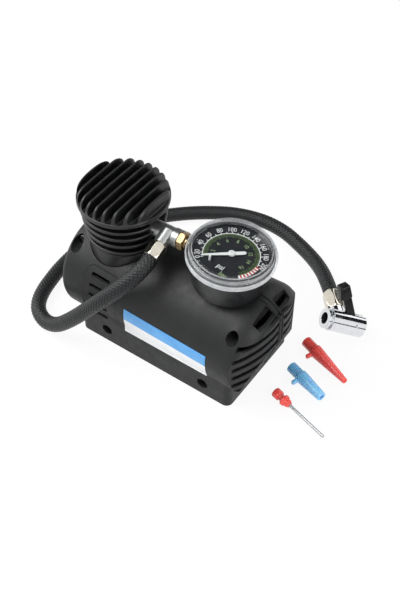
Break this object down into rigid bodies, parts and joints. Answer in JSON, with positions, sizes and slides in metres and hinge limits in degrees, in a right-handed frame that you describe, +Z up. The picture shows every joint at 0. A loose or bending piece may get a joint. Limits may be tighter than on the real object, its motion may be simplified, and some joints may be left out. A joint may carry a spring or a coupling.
{
  "type": "portable tire inflator",
  "caption": "Portable tire inflator: a motor-driven piston pump in a rounded case, with a finned head, dial gauge, braided air hose with lever chuck, and loose adaptors.",
  "frame": {"origin": "on the ground under the middle of the case's base", "axes": "+X to the vented end, -Y to the front with the label, +Z up"},
  "size_m": [0.2509, 0.1954, 0.1192],
  "materials": {
    "case": "textured black",
    "head_black": "satin black",
    "steel": "zinc plated",
    "zinc_steel": "zinc plated",
    "label": "printed sheet",
    "black_rubber": "matte",
    "black_gloss": "smooth",
    "casting": "die cast",
    "magnet": "sintered",
    "bronze": "machined",
    "copper": "wound wire",
    "ivory": "moulded nylon",
    "nickel": "nickel plated",
    "chrome": "polished",
    "hose_braid": "braided",
    "dial_black": "printed",
    "white": "painted",
    "clear": "polished",
    "red": "moulded",
    "blue": "moulded"
  },
  "bodies": {
    "case": {"front_shell": "case", "back_shell": "case", "case_screws": "steel", "front_label": "label", "lead_inlet": "black_rubber", "switch_body": "black_gloss", "pump_frame": "casting", "frame_screws": "steel", "motor_can": "zinc_steel", "motor_end_cap": "black_gloss", "motor_magnets": "magnet", "motor_bushes": "bronze", "motor_brushes": "magnet", "suppression_chokes": "copper", "crank_bush": "bronze", "pump_cylinder": "casting", "valve_plate": "bronze", "valve_spring": "steel", "cylinder_cap": "casting", "cap_screws": "steel", "finned_sleeve": "head_black", "head_cover": "head_black", "outlet_tee": "casting", "gauge_nut": "bronze", "outlet_ferrule": "nickel", "hose": "hose_braid", "chuck_ferrule": "nickel", "chuck_collar": "chrome", "chuck_body": "chrome", "chuck_seal": "black_rubber", "chuck_plunger": "bronze", "lever_pin": "steel", "gauge_drum": "head_black", "gauge_stem": "bronze", "bourdon_tube": "bronze", "movement_frame": "bronze", "dial": "dial_black", "gauge_lens": "clear"},
    "motor_rotor": {"motor_shaft": "steel", "armature": "copper", "commutator": "copper", "motor_pinion": "bronze"},
    "crank": {"crank_shaft": "steel", "crank_gear": "ivory", "crank_web": "casting"},
    "piston_rod": {"crank_pin": "steel", "con_rod": "ivory", "piston": "casting", "piston_cup": "black_rubber"},
    "discharge_valve": {"valve_disc": "black_rubber"},
    "rocker": {"switch_rocker": "black_gloss"},
    "lever": {"chuck_lever": "black_gloss"},
    "sector": {"sector_gear": "bronze"},
    "pointer_hand": {"pointer": "white", "pointer_arbor": "bronze"},
    "red_adaptor": {"red_nozzle": "red"},
    "blue_adaptor": {"blue_nozzle": "blue"},
    "ball_needle": {"needle_hub": "red", "needle_tube": "steel"}
  },
  "joints": [
    {"name": "motor_spin", "type": "hinge", "parent": "case", "child": "motor_rotor", "pos_m": [0, 0, 0.045], "axis": [1, 0, 0], "continuous": true},
    {"name": "crank_spin", "type": "hinge", "parent": "case", "child": "crank", "pos_m": [-0.04, 0, 0.0252], "axis": [1, 0, 0], "continuous": true},
    {"name": "piston_slide", "type": "slide", "parent": "case", "child": "piston_rod", "axis": [0, 0, 1], "range_m": [-0.014, 0]},
    {"name": "valve_lift", "type": "slide", "parent": "case", "child": "discharge_valve", "axis": [0, 0, 1], "range_m": [0, 0.0008], "stiffness_N_per_m": 60, "deforming": ["valve_spring"]},
    {"name": "rocker_tilt", "type": "hinge", "parent": "case", "child": "rocker", "pos_m": [0.022, 0.0365, 0.0114], "axis": [0, 0, 1], "range_deg": [0, 14]},
    {"name": "lever_swing", "type": "hinge", "parent": "case", "child": "lever", "pos_m": [0.10082, 0.06936, 0.01261], "axis": [-0.7536, 0.5365, -0.3798], "range_deg": [0, 80]},
    {"name": "sector_turn", "type": "hinge", "parent": "case", "child": "sector", "pos_m": [0.03901, -0.018, 0.09503], "axis": [0.0767, 0, 0.9971], "range_deg": [0, 32.75]},
    {"name": "pointer_turn", "type": "hinge", "parent": "case", "child": "pointer_hand", "pos_m": [0.0397, 0, 0.104], "axis": [-0.0767, 0, -0.9971], "range_deg": [0, 262]},
    {"name": "red_lift", "type": "slide", "parent": "case", "child": "red_adaptor", "axis": [0, 0, 1], "range_m": [0, 0.1]},
    {"name": "blue_lift", "type": "slide", "parent": "case", "child": "blue_adaptor", "axis": [0, 0, 1], "range_m": [0, 0.1]},
    {"name": "needle_lift", "type": "slide", "parent": "case", "child": "ball_needle", "axis": [0, 0, 1], "range_m": [0, 0.1]}
  ],
  "couplings": [
    {"joint": "crank_spin", "follows": "motor_spin", "ratio": -0.22222},
    {"joint": "pointer_turn", "follows": "sector_turn", "ratio": 8}
  ]
}
